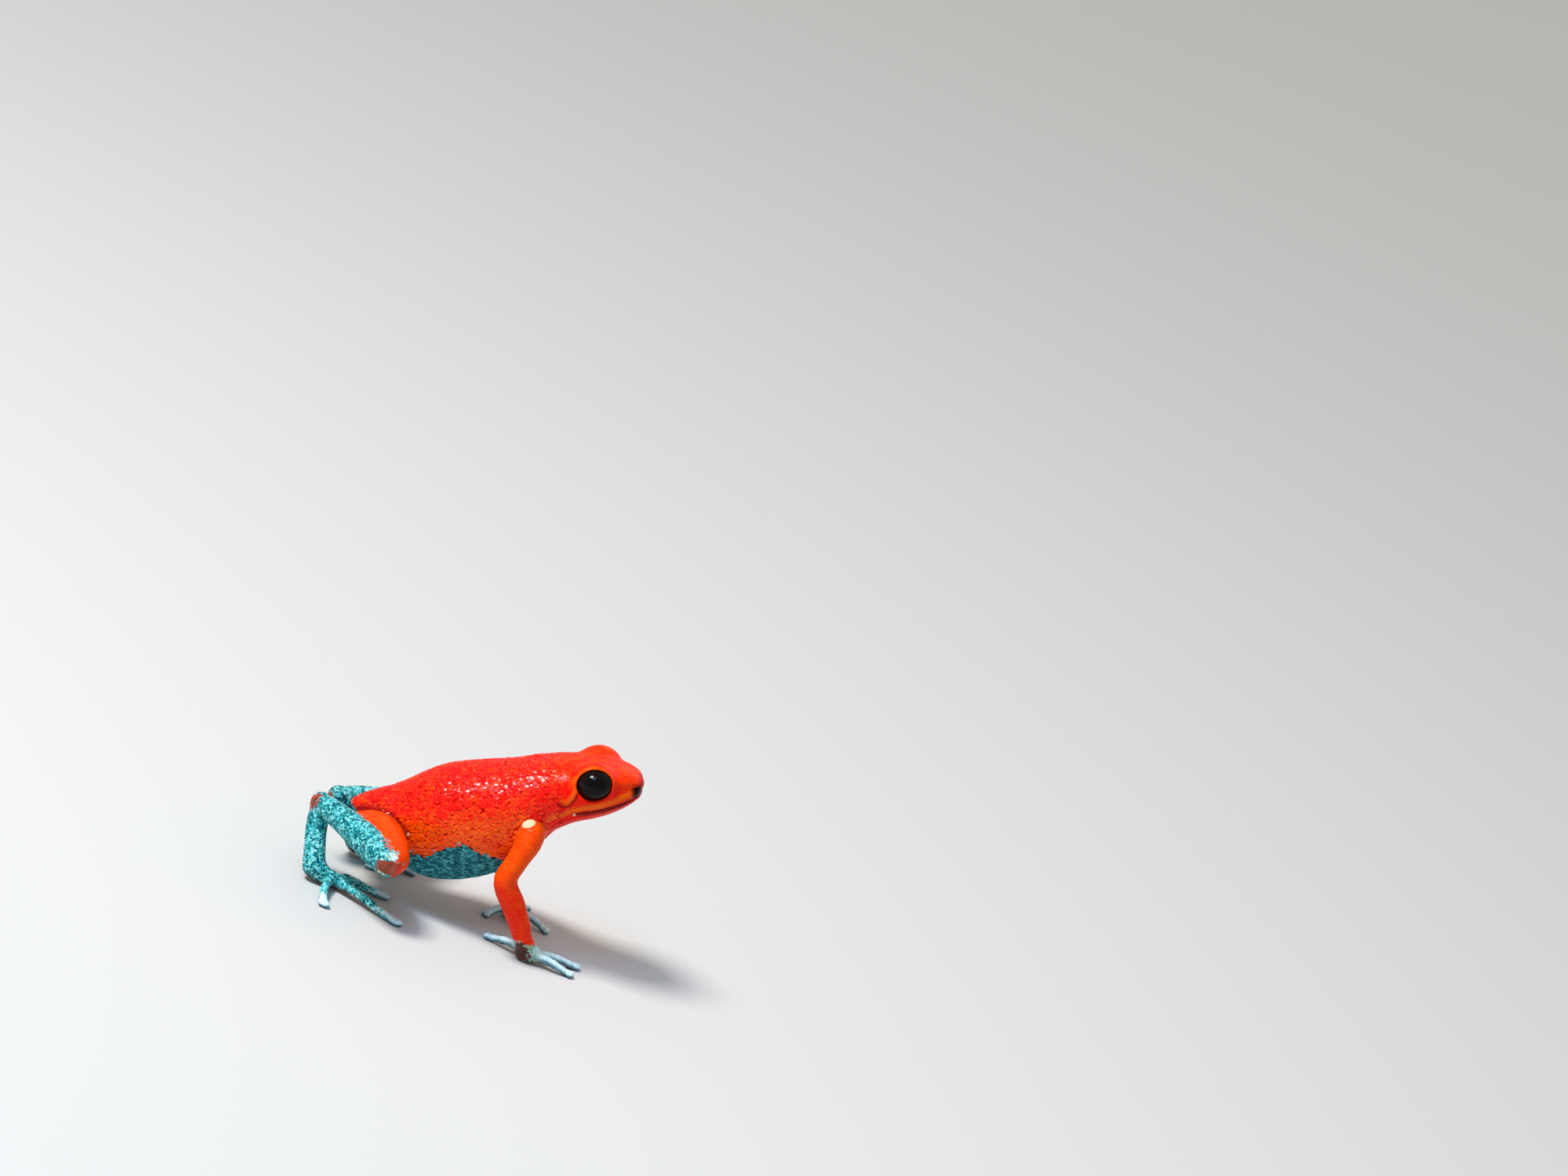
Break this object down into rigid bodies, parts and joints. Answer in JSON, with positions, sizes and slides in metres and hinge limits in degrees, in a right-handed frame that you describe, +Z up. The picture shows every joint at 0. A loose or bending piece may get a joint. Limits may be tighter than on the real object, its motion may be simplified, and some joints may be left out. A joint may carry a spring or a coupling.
{
  "type": "granular poison frog",
  "caption": "Life-size still model of a small poison dart frog sitting upright: granular red back, head and arms, turquoise hind legs, feet, hands and belly, dark bulging eyes.",
  "frame": {"origin": "centre of the bounding box on the floor plane under the frog", "axes": "+X towards the snout, +Y towards the frog's left side, +Z up"},
  "size_m": [0.0214, 0.0164, 0.0146],
  "materials": {
    "skin_red": "moist granular skin, satin",
    "skin_turquoise": "moist speckled skin, satin",
    "skin_pale_blue": "moist smooth skin, satin",
    "eye_black": "wet glossy eye"
  },
  "bodies": {
    "root": {"torso": "skin_red", "head": "skin_red", "eye_right": "eye_black", "eye_left": "eye_black", "upper_arm_right": "skin_red", "upper_arm_left": "skin_red", "forearm_right": "skin_red", "forearm_left": "skin_red", "hand_right": "skin_pale_blue", "hand_left": "skin_pale_blue", "thigh_right": "skin_red", "thigh_left": "skin_red", "shank_right": "skin_turquoise", "shank_left": "skin_turquoise", "tarsus_right": "skin_turquoise", "tarsus_left": "skin_turquoise", "foot_right": "skin_turquoise", "foot_left": "skin_turquoise"}
  },
  "joints": []
}
